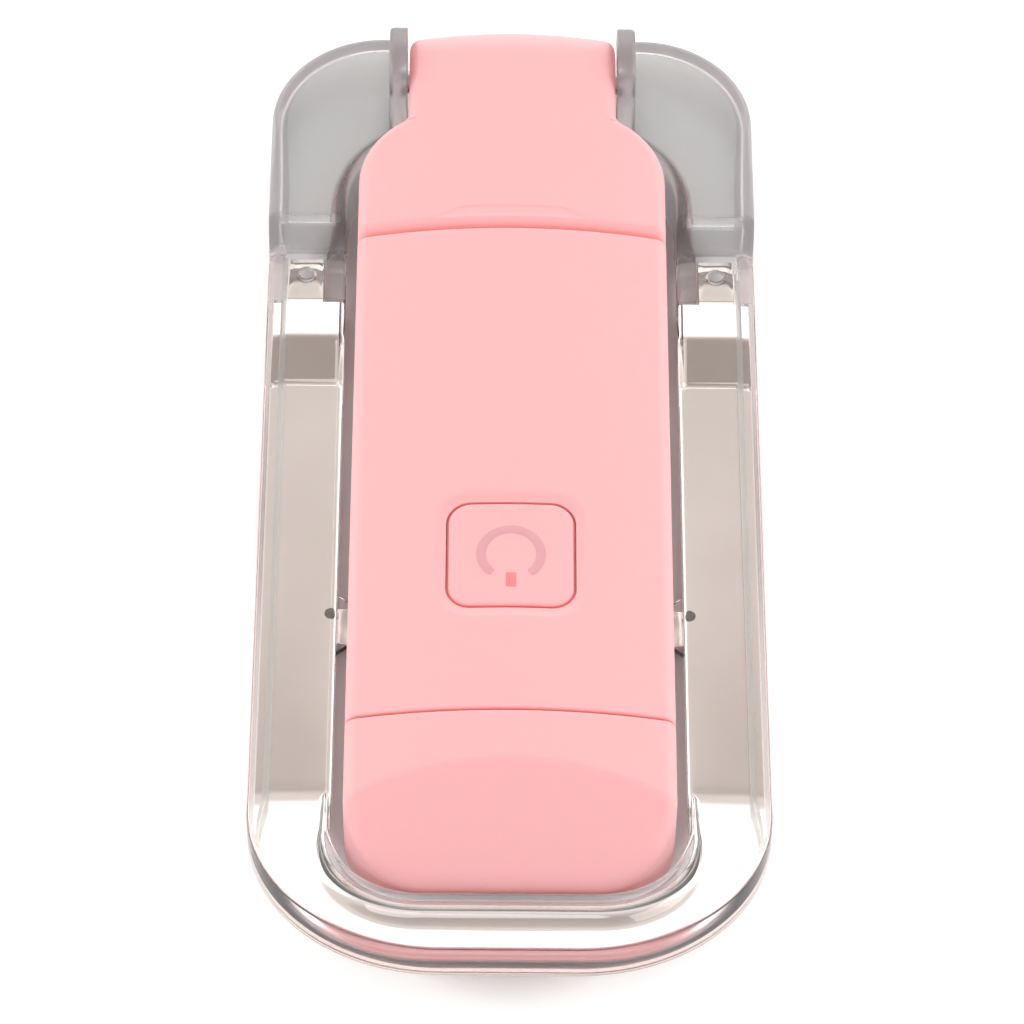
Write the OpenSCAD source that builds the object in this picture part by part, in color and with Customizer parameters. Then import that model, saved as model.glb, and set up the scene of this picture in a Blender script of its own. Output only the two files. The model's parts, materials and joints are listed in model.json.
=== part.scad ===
// Folding heated eyelash curler, all sizes in millimetres.
// +Z is up, +Y points to the hinge end, the rails of the clear frame rest on z = 0.

/* [Clear frame] */
// width over the two rails
frame_w = 43.8; // [43.6:0.1:44.4]
// length from the front lip to the hinge end
frame_l = 99.8; // [99.6:0.1:100.4]
// thickness of the rails
rail_h = 3.2; // [3.1:0.1:3.6]
// height of the hinge block
block_h = 6.5; // [6.3:0.1:6.5]
// upward bend of the front lip, degrees
lip_tilt = 12.7; // [12:0.1:13]
// radius of the ears at the hinge
ear_r = 5; // [4.8:0.1:5.2]

/* [Jaw plate] */
// thickness of the stainless plate
plate_t = 0.7; // [0.5:0.05:0.7]
// height of the rolled lip around the front opening
lip_h = 1.5; // [1:0.1:1.5]

/* [Arm] */
// width of the arm
arm_w = 27.5; // [27:0.1:27.6]
// width of the neck between the ears
neck_w = 18.8; // [18.4:0.1:18.9]
// crown radius of the upper covers
crown_r = 58; // [54:1:62]
// wall thickness of the arm's shells
wall = 1.2; // [1:0.1:1.2]

/* [Button] */
// side of the square button cap
cap_w = 10.6; // [10.2:0.1:11]
// gap around the button cap
cap_gap = 0.22; // [0.2:0.02:0.4]

/* [Hidden] */
$fn = 72;
hw = frame_w / 2;
hl = frame_l / 2;
rear_r = 10;
front_r = 16.2;
iw = 14.85;
bend_y = -32;
open_y = -43.5;
open_r = 7.5;
ax_y = 44.3;
ax_z = 6.5;
pin_r = 1;
ear_in = 9.6;
ear_t = 1.8;
floor_h = 1.6;
bar_y0 = -15.1;
bar_y1 = -11.3;
post_x = 18.45;
post_y = 24.9;
plate_z = 0.2;
plate_rise = 1;
aw = arm_w / 2;
nw = neck_w / 2;
arm_top = 11;
arm_bot = 2;
nose_end = -42.6;
nose_r = 7;
sh_r = 7;
sh_cy = 30.5;
seam_a = 23.45;
seam_c = -28.3;
split_z = 7.7;
nose_split = 5;
barrel_r = 4.5;
btn_y = -12.45;
pcb_top = 3.85;

// ---- shared shapes ----

// plan of the whole frame, inset by d
module frame_plan(d) {
    translate([-hw + d, front_r - hl]) square([2 * (hw - d), 2 * hl - front_r - rear_r]);
    translate([-(hw - front_r), d - hl]) square([2 * (hw - front_r), 20]);
    translate([-(hw - rear_r), hl - d - 20]) square([2 * (hw - rear_r), 20]);
    for (s = [-1, 1]) translate([s * (hw - front_r), front_r - hl]) circle(r = front_r - d);
    for (s = [-1, 1]) translate([s * (hw - rear_r), hl - rear_r]) circle(r = rear_r - d);
}

// front window, grown by d, from the lip to y1
module front_open(d, y1) {
    translate([-iw - d, open_y + open_r]) square([2 * (iw + d), y1 - open_y - open_r]);
    translate([-(iw - open_r), open_y - d]) square([2 * (iw - open_r), open_r + d]);
    for (s = [-1, 1]) translate([s * (iw - open_r), open_y + open_r]) circle(r = open_r + d);
}

// room for the arm, grown by d, closed behind the shoulders
module shoulder_pocket(d, y0) {
    translate([-iw - d, y0]) square([2 * (iw + d), sh_cy - y0]);
    translate([-(aw - sh_r), y0]) square([2 * (aw - sh_r), sh_cy - y0 + sh_r + 1.1 + d]);
    for (s = [-1, 1]) translate([s * (iw - sh_r - 1.1), sh_cy]) circle(r = sh_r + 1.1 + d);
}

// rear window below the arm
module rear_window() {
    r = 2;
    translate([-iw, bar_y1 + r]) square([2 * iw, 20]);
    translate([-iw + r, bar_y1]) square([2 * (iw - r), 20]);
    for (s = [-1, 1]) translate([s * (iw - r), bar_y1 + r]) circle(r = r);
    shoulder_pocket(0, 0);
}

// front window with its rounded corners at the crossbar
module front_window() {
    r = 2;
    front_open(0, bar_y0 - r);
    translate([-iw + r, -30]) square([2 * (iw - r), 30 + bar_y0]);
    for (s = [-1, 1]) translate([s * (iw - r), bar_y0 - r]) circle(r = r);
}

// side profile swept across the whole width
module side_sweep(pts) {
    translate([-hw - 1, 0, 0]) rotate([90, 0, 90]) linear_extrude(2 * hw + 2) polygon(pts);
}

// where a level z above the rails' underside bends up, and where it ends
function bend_at(z) = [bend_y + z * (1 / cos(lip_tilt) - 1) / tan(lip_tilt), z];
function tip_at(z) = [-hl - 1, z / cos(lip_tilt) + (hl + 1 + bend_y) * tan(lip_tilt)];

// plan of the arm without its neck, inset by d
module arm_plan(d) {
    nose_cy = nose_end + nose_r;
    translate([-aw + d, nose_cy]) square([2 * (aw - d), sh_cy - nose_cy]);
    translate([-(aw - nose_r), nose_end + d]) square([2 * (aw - nose_r), nose_r]);
    for (s = [-1, 1]) translate([s * (aw - nose_r), nose_cy]) circle(r = nose_r - d);
    translate([-(aw - sh_r), sh_cy - 1]) square([2 * (aw - sh_r), sh_r + 1 - d]);
    for (s = [-1, 1]) translate([s * (aw - sh_r), sh_cy]) circle(r = sh_r - d);
}

// everything under the crowned top surface, lowered by d
module crown(d) {
    translate([0, -50, arm_top - crown_r]) rotate([-90, 0, 0]) cylinder(r = crown_r - d, h = 110, $fn = 240);
}

// rounded upper edges along the straight sides, inset by d
module edge_sweep(d) {
    r = 1;
    zc = arm_top - crown_r + sqrt(crown_r * crown_r - (aw - r) * (aw - r)) - r;
    translate([0, 60, 0]) rotate([90, 0, 0]) linear_extrude(120) {
        translate([-aw + d, 0]) square([2 * (aw - d), zc]);
        translate([-aw + r, 0]) square([2 * (aw - r), 14]);
        for (s = [-1, 1]) translate([s * (aw - r), zc]) circle(r = r - d * 0.7, $fn = 40);
    }
}

// sloped end of the nose
module above_slope(d) {
    translate([0, -33.2, arm_top - d]) rotate([28, 0, 0]) translate([-20, -20, 0]) cube([40, 40, 12]);
}

// outer or inner body of the upper covers between two seams
module cover_body(d, y0, y1, z0) {
    intersection() {
        translate([0, 0, z0]) linear_extrude(14 - z0) arm_plan(d);
        crown(d);
        edge_sweep(d);
        translate([-20, y0, 0]) cube([40, y1 - y0, 20]);
    }
}

module rounded_square(w, r) {
    h = w / 2;
    square([w, w - 2 * r], center = true);
    square([w - 2 * r, w], center = true);
    for (sx = [-1, 1]) for (sy = [-1, 1]) translate([sx * (h - r), sy * (h - r)]) circle(r = r);
}

// power ring, open towards -y, with its bar
module icon_plan(g) {
    difference() {
        circle(r = 2.95 + g);
        circle(r = 2.13 - g);
        polygon([[0, 0], [-3.1 + g, -4], [3.1 - g, -4]]);
    }
    translate([-0.45 - g, -3.6 - g]) square([0.9 + 2 * g, 1.65 + 2 * g]);
}

// ---- clear frame body ----

module frame_blank() {
    intersection() {
        linear_extrude(14) frame_plan(0);
        side_sweep([tip_at(0), bend_at(0), [hl + 1, 0], [hl + 1, block_h], [28.6, block_h],
                    [26.6, rail_h], bend_at(rail_h), tip_at(rail_h)]);
    }
    for (s = [-1, 1]) translate([s * (ear_in + ear_t / 2), ax_y, ax_z]) rotate([0, 90, 0])
        cylinder(r = ear_r, h = ear_t, center = true);
}

// shallow recess for the plate under the rails
module plate_recess() {
    low = plate_z + plate_t + 0.05;
    high = low + plate_rise;
    intersection() {
        translate([0, 0, -1]) linear_extrude(12) difference() {
            union() {
                intersection() {
                    frame_plan(0.55);
                    translate([-30, -60]) square([60, 81.9]);
                }
                for (s = [-1, 1]) translate([s * post_x - 1.8, 20]) square([3.6, 7.8]);
            }
            translate([-iw - 0.42, bar_y1]) square([2 * iw + 0.84, 60]);
            front_open(0.42, bar_y0);
        }
        side_sweep([[-60, -1], [30, -1], [30, high], [17.3, high], [12.3, low], bend_at(low), tip_at(low)]);
    }
    intersection() {
        translate([0, 0, -1]) linear_extrude(14) difference() {
            front_open(1.08, bend_y);
            front_open(0.42, bend_y + 1);
        }
        side_sweep([[-60, -1], [bend_y + 1, -1], bend_at(low + lip_h), tip_at(low + lip_h)]);
    }
}

module clear_frame() {
    color([0.86, 0.84, 0.84, 0.35]) {
        difference() {
            frame_blank();
            translate([0, 0, floor_h]) linear_extrude(20) shoulder_pocket(0, bar_y0 - 3);
            translate([-ear_in, 30, floor_h]) cube([2 * ear_in, 30, 20]);
            translate([0, 0, -1]) linear_extrude(4) rear_window();
            translate([0, 0, -1]) linear_extrude(14) front_window();
            plate_recess();
            // hollow underside of the hinge block
            translate([0, 0, -1]) linear_extrude(block_h - 0.5) intersection() {
                difference() {
                    frame_plan(0.9);
                    shoulder_pocket(0.9, 0);
                    translate([-ear_in - ear_t - 0.6, 30]) square([2 * (ear_in + ear_t + 0.6), 30]);
                }
                translate([-30, 29.6]) square([60, 30]);
            }
            translate([0, ax_y, ax_z]) rotate([0, 90, 0])
                cylinder(r = pin_r + 0.01, h = 2 * ear_in + 1.4, center = true);
        }
        // staked posts that hold the plate
        for (s = [-1, 1]) translate([s * post_x, post_y, 0]) {
            translate([0, 0, 0.9]) cylinder(r = 0.72, h = 1.4);
            translate([0, 0, 0.55]) cylinder(r = 1.15, h = 0.6);
        }
    }
}

module jaw_plate() {
    top = plate_z + plate_t;
    color([0.80, 0.77, 0.73]) {
        intersection() {
            linear_extrude(12) difference() {
                union() {
                    intersection() {
                        frame_plan(0.65);
                        translate([-30, -60]) square([60, 81.6]);
                    }
                    for (s = [-1, 1]) translate([s * post_x - 1.6, 20]) square([3.2, 7.3]);
                }
                translate([-iw - 0.56, bar_y1 - 0.1]) square([2 * iw + 1.12, 60]);
                front_open(0.56, bar_y0 + 0.1);
                for (s = [-1, 1]) translate([s * post_x, post_y]) circle(r = 0.8, $fn = 32);
                for (s = [-1, 1]) translate([s * 15.4, -12.4]) circle(r = 0.58, $fn = 32);
            }
            side_sweep([tip_at(plate_z), bend_at(plate_z), [12.6, plate_z], [17.6, plate_z + plate_rise],
                        [30, plate_z + plate_rise], [30, top + plate_rise], [17.4, top + plate_rise],
                        [12.4, top], bend_at(top), tip_at(top)]);
        }
        // rolled lip around the front window
        intersection() {
            linear_extrude(14) difference() {
                front_open(0.98, bend_y - 0.1);
                front_open(0.56, bend_y + 1);
            }
            side_sweep([tip_at(plate_z + 0.1), bend_at(plate_z + 0.1), bend_at(top + lip_h), tip_at(top + lip_h)]);
        }
    }
}

module hinge_pin() {
    color([0.75, 0.75, 0.77]) translate([0, ax_y, ax_z]) rotate([0, 90, 0])
        cylinder(r = pin_r, h = 2 * ear_in + 1.3, center = true);
}

// close-wound torsion spring, its coil as one sleeve
module hinge_spring() {
    wire = 0.35;
    coil = 1.7;
    color([0.68, 0.68, 0.70]) translate([0, ax_y, ax_z]) {
        rotate([0, 90, 0]) difference() {
            cylinder(r = coil + wire, h = 4.8, center = true);
            cylinder(r = coil - wire, h = 6, center = true);
        }
        translate([2.04, coil, floor_h - ax_z + 0.02]) cylinder(r = wire, h = ax_z - floor_h, $fn = 24);
        translate([-2.04, 0, coil]) rotate([90, 0, 0]) cylinder(r = wire, h = 10.5, $fn = 24);
    }
}

// ---- arm body ----

module arm_base() {
    color([1.00, 0.68, 0.69]) {
        difference() {
            translate([0, 0, arm_bot]) linear_extrude(split_z - 0.05 - arm_bot) arm_plan(0);
            translate([0, 0, arm_bot + 1]) linear_extrude(10) arm_plan(wall);
            translate([-20, -50, nose_split - 0.05]) cube([40, 50 + seam_c, 10]);
            // charging port
            translate([aw - 3, -21, 5.42]) rotate([90, 0, 90]) linear_extrude(6) {
                square([6, 3.35], center = true);
                for (s = [-1, 1]) translate([s * 2.875, 0]) circle(r = 1.675);
            }
            // window for the lash pad
            translate([0, 0, 0]) linear_extrude(4) intersection() {
                arm_plan(2);
                translate([-10, -45]) square([20, 11.8]);
            }
            // screw counterbores
            for (p = [[9.6, 28.4], [10.3, -31.3]]) for (s = [-1, 1]) translate([s * p[0], p[1], 0]) {
                cylinder(r = 1.65, h = arm_bot + 0.6);
                cylinder(r = 0.85, h = 6);
            }
        }
        // low walls that hold the battery, notched for its leads
        difference() {
            for (y = [-2.4, 22.2]) translate([-9, y, 2.9]) cube([18, 0.7, 1.6]);
            for (s = [-1, 1]) translate([s * 2.5 - 0.6, -3, 3.8]) cube([1.2, 2, 2]);
        }
    }
}

module screw_boss(x, y, z0, z1) {
    difference() {
        translate([x, y, z0]) cylinder(r = 1.7, h = z1 - z0);
        translate([x, y, z0 - 1]) cylinder(r = 0.8, h = 5, $fn = 32);
    }
}

module hinge_cover() {
    color([1.00, 0.68, 0.69]) {
        difference() {
            union() {
                cover_body(0, seam_a + 0.15, 38, split_z);
                intersection() {
                    translate([-nw, sh_cy + sh_r - 1.4, split_z]) cube([neck_w, ax_y - sh_cy - sh_r + 1.4, 6]);
                    crown(0);
                }
                intersection() {
                    translate([-nw, sh_cy + sh_r + 0.1, 2.4]) cube([neck_w, ax_y - sh_cy - sh_r - 0.1, 9]);
                    crown(0);
                }
                intersection() {
                    translate([-nw, ax_y, ax_z]) rotate([0, 90, 0]) cylinder(r = barrel_r, h = neck_w);
                    crown(0);
                }
            }
            cover_body(wall, seam_a - 1, 38, 5);
            // fingernail scoop above the seam
            translate([0, seam_a, arm_top + 1.05]) rotate([0, 90, 0]) intersection() {
                cylinder(r = 1.9, h = 11.4, center = true);
                translate([0, 1.2, 0]) cube([6, 5, 20], center = true);
            }
            translate([0, ax_y, ax_z]) rotate([0, 90, 0]) cylinder(r = pin_r + 0.05, h = 30, center = true);
            // chamber and exits of the spring
            translate([0, ax_y, ax_z]) rotate([0, 90, 0]) cylinder(r = 2.9, h = 5.8, center = true);
            translate([-2.9, ax_y - 2.9, 0]) cube([5.8, 2.9, ax_z]);
            translate([-2.9, ax_y, 0]) cube([5.8, 8, 8.8]);
            translate([-2.6, 30, 7.8]) cube([1.1, ax_y - 30, 0.85]);
        }
        for (s = [-1, 1]) screw_boss(s * 9.6, 28.4, 3.1, 9.2);
    }
}

module nose_cap() {
    color([1.00, 0.68, 0.69]) {
        difference() {
            cover_body(0, -60, seam_c - 0.05, nose_split);
            above_slope(0);
            difference() {
                cover_body(wall, -60, seam_c + 1, nose_split - 1);
                above_slope(wall + 0.15);
            }
        }
        for (s = [-1, 1]) screw_boss(s * 10.3, -31.3, 3.1, 9);
    }
}

module arm_screws() {
    color([0.62, 0.62, 0.64]) for (p = [[9.6, 28.4], [10.3, -31.3]]) for (s = [-1, 1])
        translate([s * p[0], p[1], 0]) difference() {
            union() {
                translate([0, 0, arm_bot + 0.05]) cylinder(r = 1.5, h = 0.5);
                translate([0, 0, arm_bot + 0.5]) cylinder(r = 0.75, h = 4, $fn = 32);
            }
            for (a = [0, 90]) rotate([0, 0, a]) translate([-0.9, -0.15, arm_bot - 0.2]) cube([1.8, 0.3, 0.5]);
        }
}

module battery() {
    color([0.72, 0.74, 0.78]) {
        translate([-8.2, -1.6, 3.7]) cube([16.4, 23.6, 4.5]);
        for (s = [-1, 1]) translate([s * 8.2, -1.6, 5.95]) rotate([-90, 0, 0]) cylinder(r = 2.25, h = 23.6);
    }
}

module battery_pad() {
    color([0.25, 0.25, 0.27]) translate([-8.2, -1.4, 3.03]) cube([16.4, 23.2, 0.6]);
}

module lead(x) {
    translate([x, -1.62, 4.45]) rotate([90, 0, 0]) cylinder(r = 0.45, h = 3.2, $fn = 24);
}

module battery_lead_positive() {
    color([0.78, 0.10, 0.08]) lead(2.5);
}

module battery_lead_negative() {
    color([0.08, 0.08, 0.09]) lead(-2.5);
}

module circuit_board() {
    color([0.10, 0.36, 0.20]) difference() {
        translate([-12.3, -28.2, pcb_top - 0.8]) cube([24.6, 25.6, 0.8]);
        for (s = [-1, 1]) translate([s * 10.9, -5, 0]) cylinder(r = 0.8, h = 8, $fn = 32);
    }
}

module controller_chip() {
    color([0.06, 0.06, 0.07]) translate([-9.5, -22.5, pcb_top + 0.02]) cube([4.5, 4.5, 0.9]);
}

module tact_switch() {
    color([0.12, 0.12, 0.13]) difference() {
        translate([-3, btn_y - 3, pcb_top + 0.02]) cube([6, 6, 3.5]);
        translate([0, btn_y, pcb_top + 2.8]) cylinder(r = 1.8, h = 2);
    }
}

module indicator_led() {
    color([0.95, 0.93, 0.80]) translate([4.4, -8.6, pcb_top + 0.02]) cube([1.6, 0.8, 0.7]);
}

module charge_port() {
    color([0.74, 0.74, 0.76]) translate([6.6, -21, 5.42]) rotate([90, 0, 90]) difference() {
        linear_extrude(aw - 6.6) {
            square([5.8, 3.1], center = true);
            for (s = [-1, 1]) translate([s * 2.9, 0]) circle(r = 1.55);
        }
        translate([0, 0, 0.8]) linear_extrude(12) {
            square([5.8, 2.5], center = true);
            for (s = [-1, 1]) translate([s * 2.9, 0]) circle(r = 1.25);
        }
    }
}

module port_tongue() {
    color([0.10, 0.10, 0.11]) translate([7.42, -24.1, 5.07]) cube([5, 6.2, 0.7]);
}

module nose_layer(d, y1, z0, h) {
    translate([0, 0, z0]) linear_extrude(h) intersection() {
        arm_plan(d);
        translate([-20, -50]) square([40, 50 + y1]);
    }
}

module lash_pad() {
    color([0.93, 0.91, 0.90]) translate([0, 0, 1.75]) linear_extrude(1.25) intersection() {
        arm_plan(2.1);
        translate([-9.9, -45]) square([19.8, 11.7]);
    }
}

module heater_plate() {
    color([0.80, 0.80, 0.82]) nose_layer(1.4, -33, 3.03, 0.8);
}

module heating_film() {
    color([0.80, 0.42, 0.12]) nose_layer(1.6, -33.1, 3.86, 0.2);
}

module heater_insulator() {
    color([0.88, 0.86, 0.80]) difference() {
        nose_layer(1.6, -33.1, 4.09, 1.2);
        translate([-2, -38, 4]) cube([4, 2.4, 0.9]);
    }
}

module thermistor() {
    color([0.12, 0.12, 0.14]) translate([-0.9, -36.8, 4.42]) rotate([0, 90, 0])
        cylinder(r = 0.33, h = 1.8, $fn = 24);
}

module heater_leads() {
    color([0.90, 0.88, 0.84]) for (s = [-1, 1]) translate([s * 4, -28.3, 4.2]) rotate([90, 0, 0])
        cylinder(r = 0.33, h = 4.75, $fn = 24);
}

// ---- lift-off cover ----

module front_cover() {
    color([1.00, 0.68, 0.69]) {
        difference() {
            cover_body(0, seam_c + 0.1, seam_a - 0.15, split_z);
            cover_body(wall, seam_c - 1, seam_a + 1, split_z - 1);
            translate([0, btn_y, 6]) linear_extrude(8) rounded_square(cap_w + 2 * cap_gap, 2.1);
        }
        // snap legs inside the base
        for (s = [-1, 1]) for (y = [-14.5, 4, 16]) translate([s * (aw - wall - 0.5) - 0.38, y, 6.2])
            cube([0.76, 3, 2.6]);
    }
}

// ---- button body ----

module button_cap() {
    color([1.00, 0.68, 0.69]) difference() {
        union() {
            intersection() {
                translate([0, btn_y, 8.55]) linear_extrude(4) rounded_square(cap_w, 1.9);
                crown(0.03);
            }
            translate([0, btn_y, 8.55]) linear_extrude(0.6) rounded_square(cap_w + 1.4, 2.4);
            translate([0, btn_y, 8.2]) cylinder(r = 2, h = 1);
        }
        translate([0, btn_y + 0.3, 10.6]) linear_extrude(2) icon_plan(0);
    }
}

module button_icon() {
    color([0.93, 0.58, 0.60]) translate([0, btn_y + 0.3, 10.62]) linear_extrude(0.2) icon_plan(-0.02);
}

module switch_plunger() {
    color([0.90, 0.88, 0.84]) translate([0, btn_y, 7.15]) cylinder(r = 1.7, h = 1.03);
}

clear_frame();
jaw_plate();
hinge_pin();
hinge_spring();
arm_base();
hinge_cover();
nose_cap();
arm_screws();
battery();
battery_pad();
battery_lead_positive();
battery_lead_negative();
circuit_board();
controller_chip();
tact_switch();
indicator_led();
charge_port();
port_tongue();
lash_pad();
heater_plate();
heating_film();
heater_insulator();
thermistor();
heater_leads();
front_cover();
button_cap();
button_icon();
switch_plunger();
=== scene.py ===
import json
import math
import bpy
import bmesh
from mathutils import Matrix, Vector

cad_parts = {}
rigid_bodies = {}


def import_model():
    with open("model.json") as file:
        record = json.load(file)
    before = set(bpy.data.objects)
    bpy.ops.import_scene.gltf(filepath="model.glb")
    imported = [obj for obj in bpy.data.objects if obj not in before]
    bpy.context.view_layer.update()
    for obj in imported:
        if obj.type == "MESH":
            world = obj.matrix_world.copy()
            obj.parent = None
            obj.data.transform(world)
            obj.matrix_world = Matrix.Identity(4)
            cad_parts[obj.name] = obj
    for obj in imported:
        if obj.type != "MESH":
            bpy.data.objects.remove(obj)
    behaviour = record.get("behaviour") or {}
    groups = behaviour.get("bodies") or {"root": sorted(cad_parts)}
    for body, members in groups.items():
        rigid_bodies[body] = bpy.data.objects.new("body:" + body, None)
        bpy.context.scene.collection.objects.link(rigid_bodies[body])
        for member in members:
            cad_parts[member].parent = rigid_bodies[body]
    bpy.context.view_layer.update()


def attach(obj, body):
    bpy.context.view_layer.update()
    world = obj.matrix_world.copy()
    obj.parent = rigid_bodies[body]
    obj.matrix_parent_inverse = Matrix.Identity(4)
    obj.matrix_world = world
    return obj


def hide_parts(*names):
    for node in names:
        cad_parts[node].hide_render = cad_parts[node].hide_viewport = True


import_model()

# sizes in millimetres, the same as the CAD part's
HW, HL = 21.9, 49.9  # the frame's half width and half length
REAR_R, FRONT_R = 10.0, 16.2  # its corners in plan
IW, OPEN_Y, OPEN_R = 14.85, -43.5, 7.5  # the opening's half width, front end and front corners
RAIL_H, BLOCK_H, FLOOR_H = 3.2, 6.5, 1.6  # heights of the rails, corner blocks and floor
BLOCK_Y = 26.9  # where the corner blocks begin
BAR0, BAR1 = -15.1, -11.3  # front and rear edge of the crossbar
AX_Y, AX_Z = 44.3, 6.5  # hinge axis
EAR_IN, EAR_R = 9.6, 5.0  # inner face and radius of the hinge ears
TILT = math.radians(12.7)  # slope of the front lip
BEND_Y, BEND_LEN = -30.6, 2.8  # where the lip's bend starts, and its length
AW, NW = 13.75, 9.4  # half widths of the arm and of its neck
CROWN_R, TOP = 58.0, 11.0  # radius across the arm's top, and its height
NOSE_END, NOSE_R = -42.6, 7.0
SH_R, SH_CY = 7.0, 30.5  # shoulder corners of the arm
FIL_R, FIL_Y, FIL_X = 1.2, 37.74, 10.6  # fillets between shoulders and neck
FIL_START = 36.68  # where a shoulder passes into its fillet
POCKET_R, POCKET_X = 8.1, 6.75  # clear corner round a shoulder
SEAM_A, SEAM_C = 23.45, -28.3  # rear and front seams of the covers
SPLIT_Z, NOSE_SPLIT = 7.7, 5.0  # lower edges of the covers and of the nose cap
BTN_Y, CAP_W, CAP_GAP = -12.45, 10.6, 0.22
CAP_R, HOLE_R = 1.95, 2.1  # corners of the button cap and of its hole
POST_X, POST_Y = 18.45, 24.9  # staked posts of the frame
STEP_U, STEP_H = 1.27, 0.42  # width and depth of the frame's outer step
RECESS_OUT, RECESS_IN = 0.55, 0.42  # walls on each side of the plate
LIP_OUT, LIP_T = 0.56, 0.42  # gap outside the rolled lip, and its thickness
LIP_ARC = math.radians(42)
PLATE_OUT, PLATE_TOP = 0.6, 0.9
JOGGLE_Y, JOGGLE_H, JOGGLE_RUN = 12.5, 1.06, 4.6  # the plate's step up to its tabs
PLATE_END = 21.6


# ---------- materials ----------

def node_material(name):
    m = bpy.data.materials.new(name)
    m.use_nodes = True
    nt = m.node_tree
    return m, nt, nt.nodes["Principled BSDF"]


def noise(nt, scale, detail=4.0, rough=0.5, stretch=None):
    tc = nt.nodes.new("ShaderNodeTexCoord")
    n = nt.nodes.new("ShaderNodeTexNoise")
    n.inputs["Scale"].default_value = scale
    n.inputs["Detail"].default_value = detail
    n.inputs["Roughness"].default_value = rough
    if stretch:
        mp = nt.nodes.new("ShaderNodeMapping")
        mp.inputs["Scale"].default_value = stretch
        nt.links.new(tc.outputs["Object"], mp.inputs["Vector"])
        nt.links.new(mp.outputs["Vector"], n.inputs["Vector"])
    else:
        nt.links.new(tc.outputs["Object"], n.inputs["Vector"])
    return n.outputs["Fac"]


def ramp(nt, fac, stops):
    r = nt.nodes.new("ShaderNodeValToRGB")
    while len(r.color_ramp.elements) < len(stops):
        r.color_ramp.elements.new(0.5)
    for el, (pos, col) in zip(r.color_ramp.elements, stops):
        el.position = pos
        el.color = (*col, 1.0) if len(col) == 3 else col
    nt.links.new(fac, r.inputs["Fac"])
    return r.outputs["Color"]


def to_range(nt, fac, lo, hi):
    m = nt.nodes.new("ShaderNodeMapRange")
    m.inputs["From Min"].default_value = 0.3
    m.inputs["From Max"].default_value = 0.7
    m.inputs["To Min"].default_value = lo
    m.inputs["To Max"].default_value = hi
    nt.links.new(fac, m.inputs["Value"])
    return m.outputs["Result"]


def bump(nt, bsdf, fac, strength, distance):
    b = nt.nodes.new("ShaderNodeBump")
    b.inputs["Strength"].default_value = strength
    b.inputs["Distance"].default_value = distance
    nt.links.new(fac, b.inputs["Height"])
    nt.links.new(b.outputs["Normal"], bsdf.inputs["Normal"])


def soften(bsdf, weight):
    """A little light passes under the skin of pink plastic."""
    bsdf.inputs["Subsurface Weight"].default_value = weight
    bsdf.inputs["Subsurface Radius"].default_value = (0.0016, 0.0007, 0.0006)
    bsdf.inputs["Subsurface Scale"].default_value = 1.0


def plastic(name, dark, light, rough=(0.42, 0.5), grain=2600.0, depth=0.00001, sss=0.0,
            strength=0.25):
    m, nt, b = node_material(name)
    nt.links.new(ramp(nt, noise(nt, 60, 3), [(0.3, dark), (0.7, light)]), b.inputs["Base Color"])
    fine = noise(nt, grain, 5, 0.6)
    nt.links.new(to_range(nt, fine, *rough), b.inputs["Roughness"])
    bump(nt, b, fine, strength, depth)
    if sss:
        soften(b, sss)
    return m


def metal(name, dark, light, rough, stretch=(1.0, 1.0, 1.0), grain=700.0, depth=0.000002):
    m, nt, b = node_material(name)
    b.inputs["Metallic"].default_value = 1.0
    grainy = noise(nt, grain, 4, 0.6, stretch)
    nt.links.new(ramp(nt, noise(nt, 90, 3), [(0.3, dark), (0.7, light)]), b.inputs["Base Color"])
    nt.links.new(to_range(nt, grainy, *rough), b.inputs["Roughness"])
    bump(nt, b, grainy, 0.2, depth)
    return m


def pink_plastic():
    """Satin pink ABS, with painted shade and bounce light: ambient occlusion turns its colour a darker, redder
    coral in seams and close corners.
    """
    m, nt, b = node_material("pink_satin_abs")
    ao = nt.nodes.new("ShaderNodeAmbientOcclusion")
    ao.inputs["Distance"].default_value = 0.0011
    ao.samples = 8
    # painted shade and bounce light: the more occluded the surface, the darker and redder the pink
    shade = ramp(nt, ao.outputs["AO"], [
        (0.1, (0.95, 0.37, 0.35)), (0.6, (0.955, 0.42, 0.415)), (0.92, (0.96, 0.472, 0.484)),
    ])
    cloud = nt.nodes.new("ShaderNodeMixRGB")
    cloud.blend_type = "MULTIPLY"
    cloud.inputs["Fac"].default_value = 1.0
    nt.links.new(shade, cloud.inputs["Color1"])
    mottle = ramp(nt, noise(nt, 60, 3), [(0.3, (1.0, 0.99, 0.99)), (0.7, (1.0, 1.0, 1.0))])
    nt.links.new(mottle, cloud.inputs["Color2"])
    nt.links.new(cloud.outputs["Color"], b.inputs["Base Color"])
    fine = noise(nt, 2600, 5, 0.6)
    nt.links.new(to_range(nt, fine, 0.44, 0.52), b.inputs["Roughness"])
    bump(nt, b, fine, 0.25, 0.00001)
    soften(b, 0.25)
    return m


PINK = pink_plastic()
MARK = plastic("mark_translucent_rose", (0.77, 0.355, 0.39),
               (0.79, 0.365, 0.40), (0.35, 0.45), sss=0.1)
MARK_BAR = plastic("mark_translucent_coral", (0.86, 0.25, 0.25),
                   (0.88, 0.265, 0.265), (0.35, 0.45), sss=0.1)
STEEL = metal("jaw_polished_stainless", (0.80, 0.755, 0.715),
              (0.86, 0.82, 0.785), (0.055, 0.10), (1.0, 0.06, 1.0))
PIN_STEEL = metal("pin_ground_steel", (0.55, 0.55, 0.57),
                  (0.66, 0.66, 0.68), (0.22, 0.34), (0.1, 1.0, 1.0))
SPRING_STEEL = metal("spring_drawn_steel", (0.42, 0.42, 0.44), (0.58, 0.58, 0.60), (0.25, 0.38))
SCREW_STEEL = metal("screw_zinc_steel", (0.58, 0.58, 0.60), (0.70, 0.70, 0.72), (0.28, 0.4))
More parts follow.
